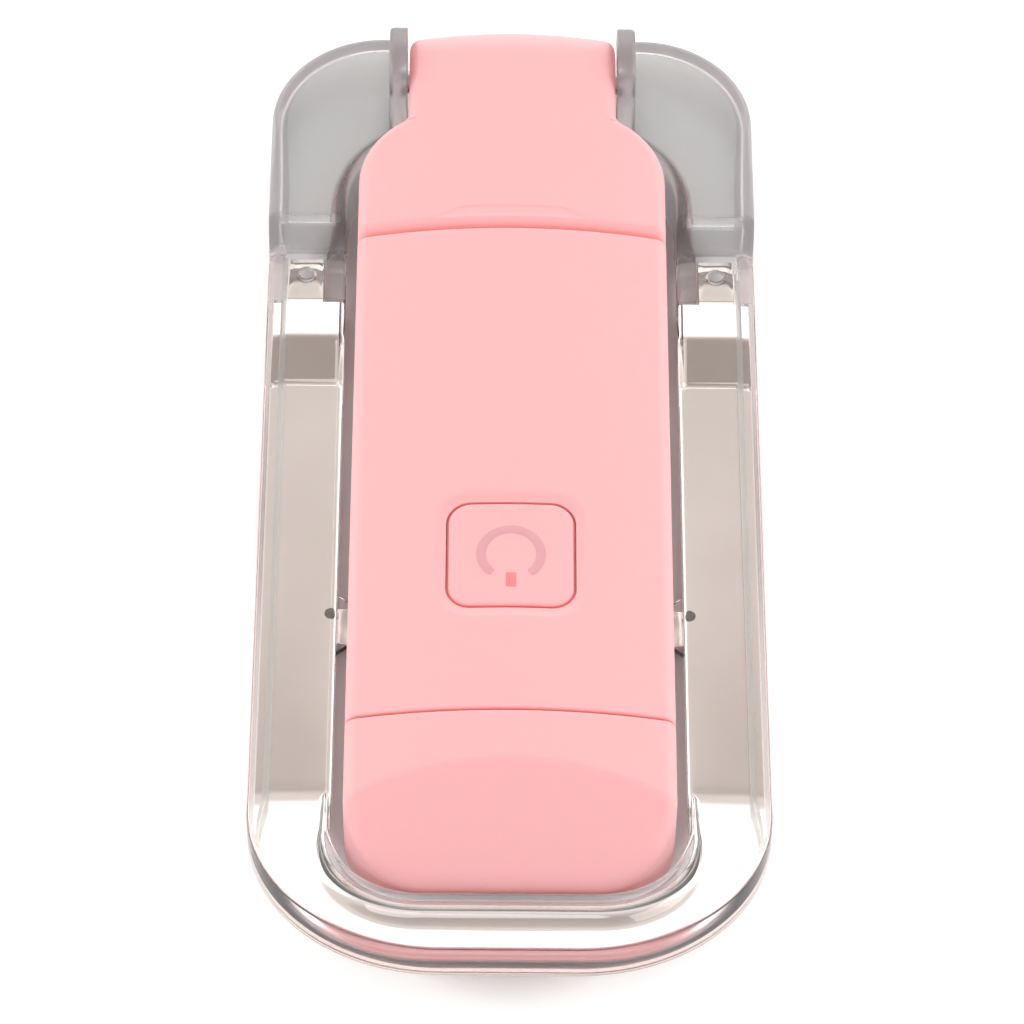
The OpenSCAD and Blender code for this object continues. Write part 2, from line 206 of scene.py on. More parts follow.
ALLOY = metal("heater_rolled_aluminium", (0.70, 0.70, 0.72),
              (0.82, 0.82, 0.84), (0.3, 0.42), (1.0, 0.08, 1.0))
FOIL = metal("pouch_foil", (0.62, 0.64, 0.68),
             (0.74, 0.76, 0.80), (0.28, 0.5), grain=300.0, depth=0.00003)
SILICONE = plastic("pad_silicone", (0.82, 0.79, 0.77),
                   (0.88, 0.86, 0.84), (0.55, 0.7), 1800.0, 0.00002)
FOAM = plastic("foam_cells", (0.03, 0.03, 0.035),
               (0.07, 0.07, 0.08), (0.8, 0.95), 900.0, 0.0002, strength=0.6)
BOARD = plastic("board_solder_mask", (0.012, 0.10, 0.035),
                (0.02, 0.14, 0.05), (0.25, 0.35), 700.0, 0.00003)
BLACK = plastic("black_moulded", (0.015, 0.015, 0.017), (0.03, 0.03, 0.033), (0.4, 0.5))
CREAM = plastic("cream_moulded", (0.72, 0.66, 0.50), (0.80, 0.75, 0.60), (0.35, 0.45))
RED = plastic("lead_red", (0.50, 0.02, 0.015), (0.60, 0.03, 0.02), (0.35, 0.45))
SLEEVE = plastic("lead_black", (0.015, 0.015, 0.017), (0.03, 0.03, 0.033), (0.35, 0.45))
WHITE = plastic("lead_white", (0.72, 0.70, 0.66), (0.80, 0.78, 0.74), (0.35, 0.45))
FILM = plastic("film_polyimide", (0.48, 0.16, 0.02), (0.62, 0.24, 0.04), (0.2, 0.3))


def clear_base(name, rough):
    m, nt, b = node_material(name)
    b.inputs["Transmission Weight"].default_value = 1.0
    b.inputs["IOR"].default_value = 1.58
    b.inputs["Roughness"].default_value = rough
    bump(nt, b, noise(nt, 180, 3), 0.02, 0.00005)
    return m, nt, b


def clear_plastic(name, tint, rough):
    m, nt, b = clear_base(name, rough)
    cloudy = tuple(0.985 * c for c in tint)
    nt.links.new(ramp(nt, noise(nt, 25, 2), [(0.3, cloudy), (0.7, tint)]), b.inputs["Base Color"])
    return m


CLEAR = clear_plastic("clear_polycarbonate", (0.965, 0.948, 0.948), 0.012)
# painted shade: this grey tint stands in for the shaded floor seen through the block
FROST_SHADE = clear_plastic("clear_polycarbonate_textured_painted_shade", (0.60, 0.63, 0.62), 0.42)
# painted shade and pink cast: this mauve-grey tint stands in for the shaded floor and the pink arm seen through
# these faces
SATIN_SHADE = clear_plastic("clear_polycarbonate_satin_painted_shade", (0.72, 0.665, 0.68), 0.3)


def edge_plastic():
    """Clear wall seen edge on, with a painted mauve tint for the pink arm and shade seen through it; the painted
    tint is a little stronger along the front.
    """
    m, nt, b = clear_base("clear_polycarbonate_edge_painted_cast", 0.17)
    tc = nt.nodes.new("ShaderNodeTexCoord")
    sep = nt.nodes.new("ShaderNodeSeparateXYZ")
    near = nt.nodes.new("ShaderNodeMapRange")
    near.inputs["From Min"].default_value = -0.047
    near.inputs["From Max"].default_value = -0.036
    nt.links.new(tc.outputs["Object"], sep.inputs["Vector"])
    nt.links.new(sep.outputs["Y"], near.inputs["Value"])
    # painted pink cast and shade, redder towards the front
    tint = ramp(nt, near.outputs["Result"], [(0.0, (0.95, 0.80, 0.79)), (1.0, (0.94, 0.83, 0.81))])
    nt.links.new(tint, b.inputs["Base Color"])
    return m


EDGE_PAINTED_CAST = edge_plastic()


# ---------- mesh helpers ----------

def make(name, verts, faces, material, body, replaces=(), sharp=35.0, weld=1e-7,
         groups=()):
    """A closed mesh from millimetres. groups lists faces that take a second material."""
    mesh = bpy.data.meshes.new(name)
    mesh.from_pydata([(x * 0.001, y * 0.001, z * 0.001) for x, y, z in verts], [], faces)
    for n, (members, _) in enumerate(groups):
        for k in members:
            mesh.polygons[k].material_index = n + 1
    bm = bmesh.new()
    bm.from_mesh(mesh)
    bmesh.ops.remove_doubles(bm, verts=bm.verts, dist=weld)
    bmesh.ops.dissolve_degenerate(bm, edges=bm.edges, dist=weld)
    bmesh.ops.recalc_face_normals(bm, faces=bm.faces)
    bm.to_mesh(mesh)
    bm.free()
    for p in mesh.polygons:
        p.use_smooth = True
    if sharp:
        mesh.set_sharp_from_angle(angle=math.radians(sharp))
    obj = bpy.data.objects.new(name, mesh)
    bpy.context.collection.objects.link(obj)
    obj.data.materials.append(material)
    for _, extra in groups:
        obj.data.materials.append(extra)
    if body:
        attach(obj, body)
    if replaces:
        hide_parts(*replaces)
    return obj


def drop_helper(obj):
    mesh = obj.data
    bpy.data.objects.remove(obj)
    bpy.data.meshes.remove(mesh)


def combine(obj, others, operation, sharp=35.0):
    for other in others:
        mod = obj.modifiers.new("cut", "BOOLEAN")
        mod.operation = operation
        mod.solver = "EXACT"
        if operation == "UNION":
            mod.material_mode = "TRANSFER"
        mod.object = other
        dg = bpy.context.evaluated_depsgraph_get()
        mesh = bpy.data.meshes.new_from_object(obj.evaluated_get(dg))
        obj.modifiers.clear()
        old = obj.data
        obj.data = mesh
        bpy.data.meshes.remove(old)
        drop_helper(other)
    for p in obj.data.polygons:
        p.use_smooth = True
    obj.data.set_sharp_from_angle(angle=math.radians(sharp))
    return obj


def rings_to_faces(count, size):
    """Quads between neighbouring closed rings of points."""
    faces = []
    for k in range(count - 1):
        a, b = k * size, (k + 1) * size
        for i in range(size):
            j = (i + 1) % size
            faces.append((a + i, a + j, b + j, b + i))
    return faces


def tube_faces(count, size):
    """Rings joined by quads, with a face over each end."""
    last = (count - 1) * size
    return rings_to_faces(count, size) + [tuple(range(size)), tuple(range(last, last + size))]


def grid_faces(rows, columns, start=0, inward=False):
    faces = []
    for r in range(rows - 1):
        for c in range(columns - 1):
            a = start + r * columns + c
            quad = (a, a + 1, a + columns + 1, a + columns)
            faces.append((a,) + quad[:0:-1] if inward else quad)
    return faces


def grid_border(rows, columns):
    """Indices round the edge of a grid of points."""
    border = list(range(columns)) + [r * columns + columns - 1 for r in range(1, rows)]
    border += [(rows - 1) * columns + c for c in range(columns - 2, -1, -1)]
    return border + [r * columns for r in range(rows - 2, 0, -1)]


def bend(x, y, h):
    """A point h above the underside of the frame, with the front lip bent up."""
    if y >= BEND_Y:
        return (x, y, h)
    s = BEND_Y - y
    flat = BEND_LEN * math.sin(TILT) / TILT
    rise = BEND_LEN * (1 - math.cos(TILT)) / TILT
    if s > flat:
        run = (s - flat) / math.cos(TILT)
        ahead = BEND_Y - flat - run * math.cos(TILT) + h * math.sin(TILT)
        return (x, ahead, rise + run * math.sin(TILT) + h * math.cos(TILT))
    a = TILT * s / flat
    return (x, y + h * math.sin(a), BEND_LEN * (1 - math.cos(a)) / TILT + h * math.cos(a))


def prism(name, outline, z0, z1, material, bevel=0.0):
    """A straight prism over an outline, with rounded rims."""
    n = len(outline)
    verts = []

    def ring(d, z):
        for k, (x, y) in enumerate(outline):
            if d:
                (x0, y0), (x1, y1) = outline[k - 1], outline[(k + 1) % n]
                tx, ty = x1 - x0, y1 - y0
                length = math.hypot(tx, ty) or 1.0
                x, y = x - ty / length * d, y + tx / length * d
            verts.append((x, y, z))

    if bevel:
        steps = 3
        for k in range(steps + 1):
            t = math.pi / 2 * k / steps
            ring(bevel * (1 - math.sin(t)), z0 + bevel * (1 - math.cos(t)))
        for k in range(steps, -1, -1):
            t = math.pi / 2 * k / steps
            ring(bevel * (1 - math.sin(t)), z1 - bevel * (1 - math.cos(t)))
    else:
        ring(0, z0)
        ring(0, z1)
    return make(name, verts, tube_faces(len(verts) // n, n), material, None)


def arc(cx, cy, r, a0, a1, n):
    angles = [math.radians(a0 + (a1 - a0) * k / n) for k in range(n + 1)]
    return [(cx + r * math.cos(a), cy + r * math.sin(a)) for a in angles]


def rounded_rect(x0, y0, x1, y1, r, n=8):
    return (
        arc(x1 - r, y0 + r, r, -90, 0, n) + arc(x1 - r, y1 - r, r, 0, 90, n)
        + arc(x0 + r, y1 - r, r, 90, 180, n) + arc(x0 + r, y0 + r, r, 180, 270, n)
    )


# ---------- clear frame ----------

def lerp(a, b, t):
    return a + (b - a) * t


def right_half_stations():
    """Pairs of outer and inner plan points from the neck slot round to the front centre."""
    st = []
    for t in (0.0, 0.35, 0.7):
        st.append(((lerp(EAR_IN, 11.9, t), HL), (EAR_IN, lerp(43.6, 41.8, t))))
    outer = arc(HW - REAR_R, HL - REAR_R, REAR_R, 90, 0, 20)
    slot_end = SH_CY + math.sqrt(POCKET_R ** 2 - (EAR_IN - POCKET_X) ** 2)
    a0 = math.degrees(math.asin((slot_end - SH_CY) / POCKET_R))
    inner = [(EAR_IN, lerp(41.4, slot_end, k / 6)) for k in range(7)]
    inner += arc(POCKET_X, SH_CY, POCKET_R, a0, 20, 13)
    st += list(zip(outer, inner[:21]))
    for t in (0.25, 0.5, 0.75, 1.0):
        a = math.radians(lerp(20, 0, t))
        pocket = (POCKET_X + POCKET_R * math.cos(a), SH_CY + POCKET_R * math.sin(a))
        st.append(((HW, lerp(HL - REAR_R, SH_CY, t)), pocket))
    # closer together where the block ends, where the plate ends and along the plate's joggle
    ys = [30.0, 29.6, 29.2, 29.0, 28.8, 28.6, 28.4, 28.2, 28.0, 27.8, 27.7, 27.4, 27.1, 26.8, 26.6]
    ys += [26.4, 26.0, 24.0, 22.0, 21.94, 21.88, PLATE_END]
    ys += [20.0, 18.8, 18.2, 17.9, 17.6, 17.3, 17.0, 16.7, 16.3, 16.0, 15.0, 14.0, 13.2, 13.0]
    ys += [12.85, 12.75, 12.65, 12.55, 12.45, 12.35, 12.25, 12.15, 12.05, 11.95, 11.85, 11.7, 11.5]
    ys += [11.3, 9.0, 5.0, 0.0, -5.0, -10.0, -13.2, -16.0, -20.0, -25.0, -29.0, -30.2]
    ys += [BEND_Y - BEND_LEN * k / 10 for k in range(12)]
    for y in ys:
        st.append(((HW, y), (IW, y)))
    n, lead = 36, OPEN_Y + OPEN_R - (FRONT_R - HL)
    inner_len = OPEN_R * math.pi / 2 - lead
    for k in range(n + 1):
        a = -90.0 * k / n
        o = arc(HW - FRONT_R, FRONT_R - HL, FRONT_R, a, a, 1)[0]
        run = inner_len * k / n + lead
        if run < 0:
            i = (IW, OPEN_Y + OPEN_R - run)
        else:
            b = -math.degrees(run / OPEN_R)
            i = arc(IW - OPEN_R, OPEN_Y + OPEN_R, OPEN_R, b, b, 1)[0]
        st.append((o, i))
    for t in (0.25, 0.5, 0.75, 1.0):
        st.append(((lerp(HW - FRONT_R, 0, t), -HL), (lerp(IW - OPEN_R, 0, t), OPEN_Y)))
    return st


def both_sides(stations):
    left = [((-o[0], o[1]), (-i[0], i[1])) for o, i in stations[:-1]]
    return stations + left[::-1]


def smooth(t):
    t = max(0.0, min(1.0, t))
    return t * t * (3 - 2 * t)


def top_height(y):
    return RAIL_H + (BLOCK_H - RAIL_H) * smooth((y - 26.6) / 2.0)


def lip_part(y):
    """How far the rolled lip has grown on its way round the front."""
    return 0.2 * smooth((BEND_Y - y) / 1.2) + 0.8 * smooth((BEND_Y - 2.0 - y) / 11.0)


def lip_radius(y):
    return 0.03 + 3.5 * lip_part(y)


def joggle(y):
    """Height of the plate above its front part, along the middle of a rail."""
    s = y - JOGGLE_Y
    if s <= 0:
        return 0.0
    dip = -0.11 * math.sin(math.pi * min(1.0, s / 0.5)) if s < 0.5 else 0.0
    up = max(0.0, s - 0.4)
    ramp_end = 4.1
    if up > ramp_end:
        k = smooth((up - ramp_end) / 1.0)
        level = JOGGLE_H + 0.01 - 0.06 * (up - JOGGLE_RUN)
        return lerp(JOGGLE_H * up / JOGGLE_RUN, level, k)
    return dip + JOGGLE_H * up / JOGGLE_RUN


def block_part(oy):
    return smooth((oy - 27.0) / 1.7)


def step_fade(oy):
    """The outer step runs out of the edge on the front corner."""
    return smooth((-31.0 - oy) / 11.0)


def plate_drop(y):
    """The front of the plate leans a little less than the clear part over it."""
    return 0.022 * max(0.0, -36.0 - y)


def hollow(oy):
    """Wall widths of the open underside, and the height of its ceiling."""
    if oy > 21.91:
        t = block_part(oy)
        return lerp(1.65, 0.9, t), lerp(1.8, 0.9, t), lerp(1.85, 5.15, t)
    return RECESS_OUT, RECESS_IN, 0.96 + max(joggle(oy), joggle(oy - 0.3), 0.0) - plate_drop(oy)


def frame_section(o, i):
    """Points round the frame's section, and the first ones of its underside and its chamfer."""
    ox, oy = o
    ix, iy = i
    width = math.hypot(ix - ox, iy - oy)
    ux, uy = (ix - ox) / width, (iy - oy) / width
    h = top_height(oy)
    a, b, rec = hollow(oy)
    if oy > 31:
        b = 0.9 if iy < 38.2 else 2.2
    t = smooth((oy - 26.6) / 2.0)
    ro, ri, c = lerp(1.25, 0.75, t), lerp(0.5, 0.6, t), 0.22
    pts = [(c, 0.0), (0.1 * c, 0.1 * c + 0.05), (0.0, c + 0.05)]
    fade = step_fade(oy)
    step = STEP_H * smooth((26.2 - oy) / 0.5)
    ro = lerp(ro, 0.34, step / STEP_H)
    step = lerp(step, 0.02, fade)
    for k in range(9):
        t = math.pi / 2 * k / 8
        pts.append((ro * (1 - math.cos(t)), h - step - ro * (1 - math.sin(t))))
    far = max(ro + 0.04, lerp(STEP_U, 0.0, fade))
    across = lerp(1.0, 0.15, fade)
    chamfer = len(pts) + 1
    pts += [(far, h - step), (far + 0.03 * across, h - step + 0.02 * step), (far + 0.5 * across, h - 0.03 * step),
            (far + 0.56 * across, h)]
    for k in range(8, -1, -1):
        t = math.pi / 2 * k / 8
        pts.append((width - ri * (1 - math.cos(t)), h - ri * (1 - math.sin(t))))
    pts += [(width, c + 0.05), (width - 0.1 * c, 0.1 * c + 0.05), (width - c, 0.0)]
    first = len(pts) - 1
    pts += [(width - b, 0.0)]
    r = lip_radius(iy) if oy < 20 else 0.06
    if oy < 20:
        wall = width - b - (LIP_OUT + LIP_T * math.sin(LIP_ARC) + 0.02 - b) * lip_part(iy)
        pts += [(width - b, rec + r * (1 - math.cos(LIP_ARC))), (wall, rec + r * (1 - math.cos(LIP_ARC)))]
        for k in range(5, -1, -1):
            t = LIP_ARC * k / 6
            pts.append((wall - r * math.sin(LIP_ARC) + r * math.sin(t), rec + r * (1 - math.cos(t))))
    else:
        soft = lerp(0.06, 0.7, block_part(oy))
        for k in range(8):
            t = math.pi / 2 * k / 7
            pts.append((width - b - soft * (1 - math.cos(t)), rec - soft * (1 - math.sin(t))))
    soft = lerp(0.05, 0.5, block_part(oy))
    for k in range(5):
        t = math.pi / 2 * (4 - k) / 4
        pts.append((a + soft * (1 - math.cos(t)), rec - soft * (1 - math.sin(t))))
    pts += [(a, 0.0)]
    return [bend(ox + ux * u, oy + uy * u, z) for u, z in pts], first, chamfer


def build_clear_frame():
    stations = both_sides(right_half_stations())
    built = [frame_section(o, i) for o, i in stations]
    rings = [b[0] for b in built]
    size, first, chamfer = len(rings[0]), built[0][1], built[0][2]
    verts = [p for r in rings for p in r]
    outside = [size - 1] + list(range(chamfer - 2))

    def quads(columns, wanted):
        """Faces between these points of the section, where wanted(y, y of the next one)."""
        return [k * size + i for k in range(len(rings) - 1) for i in columns
                if wanted(stations[k][0][1], stations[k + 1][0][1])]

    # faces that take the textured clear, whose grey tint is painted shade
    frosted = quads(range(first, size), lambda y, after: min(y, after) > BLOCK_Y)
    frosted += quads([chamfer], lambda y, after: -41.5 < y < 26.0)
    # faces that take the satin clear, whose mauve-grey tint is painted shade and pink cast
    satin = quads(outside + list(range(chamfer - 2, chamfer + 2)), lambda y, after: y > BLOCK_Y)
    satin += quads(range(chamfer + 2, first), lambda y, after: 26.7 < y < 28.0)
    satin += quads(range(chamfer + 3, first), lambda y, after: y >= 28.0)
    satin += quads(range(first - 5, first), lambda y, after: y < -38.0)
    # outer faces that take the edge clear, with its painted pink cast and shade
    edges = quads(outside, lambda y, after: y <= BLOCK_Y)
    shell = make("clear_ring_frame", verts, tube_faces(len(rings), size), CLEAR, None, sharp=30, weld=2e-8,
                 groups=((frosted, FROST_SHADE), (edges, EDGE_PAINTED_CAST), (satin, SATIN_SHADE)))
    adds = []
    # floor bridge under the neck and the crossbar under the arm
    bridge = [(-11.7, 38.3), (11.7, 38.3), (11.7, 49.62), (-11.7, 49.62)]
    adds.append(prism("bridge", bridge, 0.04, FLOOR_H, CLEAR, bevel=0.2))
    flare = [(15.4, 1.8), (14.7, 1.0), (13.7, 0.25), (12.6, 0.0)]  # the bar widens into the rails
    bar = [(-x, BAR0 - d) for x, d in flare] + [(x, BAR0 - d) for x, d in flare[::-1]]
    bar += [(x, BAR1 + d) for x, d in flare] + [(-x, BAR1 + d) for x, d in flare[::-1]]
    adds.append(prism("bar", bar, 0.97, FLOOR_H, CLEAR, bevel=0.12))
    post = [(0.0, 0.3), (0.75, 0.3), (1.0, 0.4), (1.1, 0.55), (1.1, 0.98), (0.7, 1.0), (0.7, 2.5), (0.0, 2.5)]
    for s in (-1, 1):
        adds.append(ear(s))
        adds.append(lathe("post", s * POST_X, POST_Y, post))
    combine(shell, adds, "UNION", 32)
    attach(shell, "frame")
    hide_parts("clear_frame")
    return shell


def lathe(name, x, y, profile, n=40):
    """A turned helper solid about an upright axis."""
    verts = []
    for r, z in profile:
        for k in range(n):
            a = 2 * math.pi * k / n
            verts.append((x + r * math.cos(a), y + r * math.sin(a), z))
    return make(name, verts, rings_to_faces(len(profile), n), CLEAR, None)


def ear(side):
    """Rounded cheek that carries the hinge pin, with its foot on the block."""
    outline = []
    tip_y, tip_z = 37.35, 5.9
    reach = math.hypot(AX_Y - tip_y, AX_Z - tip_z)
    lean = math.atan2(tip_z - AX_Z, tip_y - AX_Y) - math.acos(EAR_R / reach)
    start, steps = math.radians(-60), 72
    for k in range(steps + 1):
        a = start + (lean % (2 * math.pi) - start) * k / steps
        outline.append((AX_Y + EAR_R * math.cos(a), AX_Z + EAR_R * math.sin(a)))
    outline += [(tip_y, tip_z), (tip_y, 3.6), (42.0, 2.4)]
    n = len(outline)
    cy = sum(p[0] for p in outline) / n
    cz = sum(p[1] for p in outline) / n
    verts = []
    b = 0.5
    x0, x1 = EAR_IN, EAR_IN + 1.62
    prof = [(0.2, x0), (0.05, x0 + 0.05), (0.0, x0 + 0.2)]
    prof += [(b * (1 - math.cos(t)), x1 - b * (1 - math.sin(t))) for t in (0, 0.4, 0.8, 1.2, math.pi / 2)]
    for d, x in prof:
        for y, z in outline:
            k = 1 - d / EAR_R
            verts.append((side * x, cy + (y - cy) * k, cz + (z - cz) * k))
    return make("ear", verts, tube_faces(len(prof), n), SATIN_SHADE, None)


# ---------- steel jaw plate ----------

def plate_section(o, i):
    ox, oy = o
    ix, iy = i
    full = math.hypot(ix - ox, iy - oy)
    ux, uy = (ix - ox) / full, (iy - oy) / full
    r = lip_radius(iy)
    z1, rc = PLATE_TOP, 0.4
    edge = PLATE_OUT + 0.3
    lip_t = 0.05 + (LIP_T - 0.05) * lip_part(iy)
    start = full - LIP_OUT - (lip_t + r) * math.sin(LIP_ARC)

    def height(u):
        d = min(u - PLATE_OUT, full - LIP_OUT - u)
        corner = rc - math.sqrt(max(0.0, rc * rc - (rc - d) ** 2)) if d < rc else 0.0
        return joggle(oy + corner) if oy > 10 else 0.0

    pts = [(PLATE_OUT, z1 - 0.6), (PLATE_OUT, z1 - 0.3), (PLATE_OUT, z1 - 0.06), (PLATE_OUT + 0.05, z1)]
    across = (0, 0.03, 0.06, 0.1, 0.14, 0.2, 0.3, 0.5, 0.7, 0.8, 0.86, 0.9, 0.94, 0.97)
    pts += [(lerp(edge, start, t), z1) for t in across]
    for k in range(9):
        t = LIP_ARC * k / 8
        pts.append((start + r * math.sin(t), z1 + r * (1 - math.cos(t))))
    rr = r + lip_t
    for k in range(8, -1, -1):
        t = LIP_ARC * k / 8
        pts.append((start + rr * math.sin(t), max(z1 - 0.6, z1 + r - rr * math.cos(t))))
    pts.append((start - 0.1, z1 - 0.6))
    pts = [(ox + ux * u, oy + uy * u, z + height(u)) for u, z in pts]
    return [bend(x, y, z - plate_drop(oy)) for x, y, z in pts]


def build_jaw_plate():
    half = [s for s in right_half_stations() if s[0][1] < PLATE_END - 0.1]
    rings = [plate_section(o, i) for o, i in [((HW, PLATE_END), (IW, PLATE_END))] + half]
    mirrored = [[(-x, y, z) for x, y, z in r] for r in rings[:-1]][::-1]
    rings += mirrored
    size = len(rings[0])
    verts = [p for r in rings for p in r]
    plate = make("steel_jaw_plate", verts, tube_faces(len(rings), size), STEEL, "frame", ("jaw_plate",), 40)
    tab_top = PLATE_TOP + joggle(PLATE_END)
    bore = [(0.0, 0.2), (0.74, 0.2), (0.74, tab_top - 0.14), (0.92, tab_top + 0.02), (0.92, 2.6), (0.0, 2.6)]
    for s in (-1, 1):
        tab = rounded_rect(s * POST_X - 1.6, 21.0, s * POST_X + 1.6, BLOCK_Y, 0.3, 4)
        tab = prism("tab", tab, tab_top - 0.56, tab_top, STEEL, bevel=0.1)
        combine(tab, [lathe("hole", s * POST_X, POST_Y, bore)], "DIFFERENCE", 40)
        for v in tab.data.vertices:  # the tab slopes down to the rear
            v.co.z -= 0.06 * (v.co.y - 0.0212)
        combine(plate, [tab], "UNION", 40)
    bar = rounded_rect(-15.9, BAR0 + 0.1, 15.9, BAR1 - 0.1, 0.3, 3)
    combine(plate, [prism("bar", bar, 0.34, 0.88, STEEL, bevel=0.1)], "UNION", 40)
    for s in (-1, 1):
        hole = lathe("hole", s * 15.4, -12.4, [(0.0, 0.0), (0.58, 0.0), (0.58, 1.4), (0.0, 1.4)])
        combine(plate, [hole], "DIFFERENCE", 40)
    return plate


# ---------- arm covers ----------

def crown_z(x):
    return TOP - CROWN_R + math.sqrt(CROWN_R * CROWN_R - x * x)


def fall(d, r):
    """How far a rounded edge of radius r drops at distance d inside it."""
    if d >= r:
        return 0.0
    d = max(d, 0.0)
    return r - math.sqrt(max(0.0, r * r - (r - d) ** 2))


def nose_distance(x, y):
    ax, cy = abs(x), NOSE_END + NOSE_R
    if y < cy and ax > AW - NOSE_R:
        return NOSE_R - math.hypot(ax - AW + NOSE_R, y - cy)
    return min(AW - ax, y - NOSE_END) if y < cy else AW - ax


def shoulder_distance(x, y):
    ax = abs(x)
    if y > SH_CY and ax > AW - SH_R:
        body = SH_R - math.hypot(ax - AW + SH_R, y - SH_CY)
    else:
        body = min(AW - ax, SH_CY + SH_R - y) if y > SH_CY else AW - ax
    neck = NW - ax if y > 35 else -9.0
    fillet = -9.0
    if FIL_START < y < FIL_Y and ax < FIL_X:
        fillet = math.hypot(ax - FIL_X, y - FIL_Y) - FIL_R
    return max(body, neck, fillet)


def half_width(y):
    if y < NOSE_END + NOSE_R:
        t = NOSE_R * NOSE_R - (NOSE_END + NOSE_R - y) ** 2
        return AW - NOSE_R + math.sqrt(max(0.0, t))
    if y <= SH_CY:
        return AW
    if y <= FIL_START:
        return AW - SH_R + math.sqrt(SH_R ** 2 - (y - SH_CY) ** 2)
    if y <= FIL_Y:
        return FIL_X - math.sqrt(max(0.0, FIL_R ** 2 - (FIL_Y - y) ** 2))
    return NW


def rr_distance(x, y, w, r):
    """Distance outside a rounded square of side w centred on the button, negative inside."""
    qx, qy = abs(x) - (w / 2 - r), abs(y - BTN_Y) - (w / 2 - r)
    return math.hypot(max(qx, 0), max(qy, 0)) + min(max(qx, qy), 0) - r


def spread(n, edge, edge_n):
    """Values from -1 to 1, close together near both ends."""
    core = [-1 + edge + (2 - 2 * edge) * k / n for k in range(n + 1)]
    rim = [edge * (k / edge_n) ** 1.6 for k in range(edge_n)]
    return [-1 + v for v in rim] + core + [1 - v for v in rim[::-1]]


def cover_mesh(rows, columns, top, bottom_z, wall, inset_y, name, body, replaces):
    """A closed moulded cover: outer skin, skirt, rim, inner wall and inner skin."""
    nc, nr = len(columns), len(rows)
    y0, y1 = rows[0], rows[-1]
    mid = (y0 + y1) / 2
    verts = []
    for y in rows:
        hw = half_width(y)
        for u in columns:
            verts.append((u * hw, y, top(u * hw, y)))

    def inner(x, y):
        hw = half_width(y)
        return x * ((hw - wall) / hw), mid + (y - mid) * (1 - 2 * inset_y / (y1 - y0))

    faces = grid_faces(nr, nc)
    edge = grid_border(nr, nc)
    n, base = len(edge), len(verts)
    verts += [(verts[k][0], verts[k][1], bottom_z) for k in edge]
    verts += [(*inner(verts[k][0], verts[k][1]), bottom_z) for k in edge]
    off = len(verts)
    for k in range(nr * nc):
        x, y, z = verts[k]
        ix, iy = inner(x, y)
        verts.append((ix, iy, max(bottom_z + 0.2, min(z, top(x * 0.9, iy)) - wall)))
    for k in range(n):
        j = (k + 1) % n
        faces.append((edge[k], edge[j], base + j, base + k))
        faces.append((base + k, base + j, base + n + j, base + n + k))
        faces.append((base + n + k, base + n + j, off + edge[j], off + edge[k]))
    faces += grid_faces(nr, nc, off, inward=True)
    return make(name, verts, faces, PINK, body, replaces, 38, weld=2e-8)


def dense(stops):
    """Row positions: a list of (from, to, count) stretches."""
    rows = []
    for a, b, n in stops:
        for k in range(n):
            rows.append(a + (b - a) * k / n)
    rows.append(stops[-1][1])
    return rows


def front_top(x, y):
    z = crown_z(x) - fall(AW - abs(x), 1.0)
    z -= fall(SEAM_A - 0.12 - y, 0.22) + fall(y - SEAM_C - 0.06, 0.28)
    d = rr_distance(x, y, CAP_W + 2 * CAP_GAP, HOLE_R)
    z -= 0.22 * (1 - smooth((d + 0.05) / 1.15))
    return z


def nose_top(x, y):
    a = crown_z(x)
    b = TOP - math.tan(math.radians(28)) * (-33.2 - y)
    k = 0.16
    t = max(0.0, min(1.0, 0.5 + (b - a) / (2 * k)))
    z = lerp(b, a, t) - k * t * (1 - t)
    d = nose_distance(x, y)
    z -= fall(d, 1.15 if y < -34 else lerp(1.0, 1.15, smooth((-30 - y) / 4)))
    return z - fall(SEAM_C - 0.06 - y, 0.3)


def build_covers():
    cols = spread(56, 0.14, 12)
    rows = dense([(SEAM_C + 0.06, SEAM_C + 0.5, 5), (SEAM_C + 0.5, -19.6, 8), (-19.6, -17.0, 24),
                  (-17.0, -7.9, 28), (-7.9, -5.3, 24), (-5.3, SEAM_A - 0.6, 24),
                  (SEAM_A - 0.6, SEAM_A - 0.12, 5)])
    near_button = [s * v / AW for s in (-1, 1) for v in [5.0 + 0.12 * k for k in range(20)]]
    fine = sorted(set(cols + near_button))
    front = cover_mesh(rows, fine, front_top, SPLIT_Z, 1.2, 1.0, "arm_front_cover", "cover", ("front_cover",))
    half = CAP_W / 2 + CAP_GAP
    outline = [(x, y + BTN_Y) for x, y in rounded_rect(-half, -half, half, half, HOLE_R, 14)]
    combine(front, [prism("hole", outline, 5, 13, PINK)], "DIFFERENCE", 38)
    rows = dense([(NOSE_END, NOSE_END + 0.25, 4), (NOSE_END + 0.25, NOSE_END + 1.6, 9),
                  (NOSE_END + 1.6, NOSE_END + 7.2, 26), (NOSE_END + 7.2, SEAM_C - 0.5, 34),
                  (SEAM_C - 0.5, SEAM_C - 0.06, 6)])
    cover_mesh(rows, cols, nose_top, NOSE_SPLIT, 1.2, 1.1, "arm_nose_cap", "arm", ("nose_cap",))


def hinge_top(x, y):
    """Top of the hinge cover, with a shallow trapezoid sunk behind its seam."""
    z = crown_z(x)
    z -= fall(shoulder_distance(x, y), 0.9)
    z -= fall(y - SEAM_A - 0.12, 1.4)
    half = lerp(6.8, 4.4, max(0.0, min(1.0, (y - 24.75) / 1.1)))
    inside = smooth((half - abs(x)) / 0.3 + 0.5) * smooth((y - 24.7) / 0.2) * (1 - smooth((y - 25.75) / 0.2))
    return z - 0.07 * inside


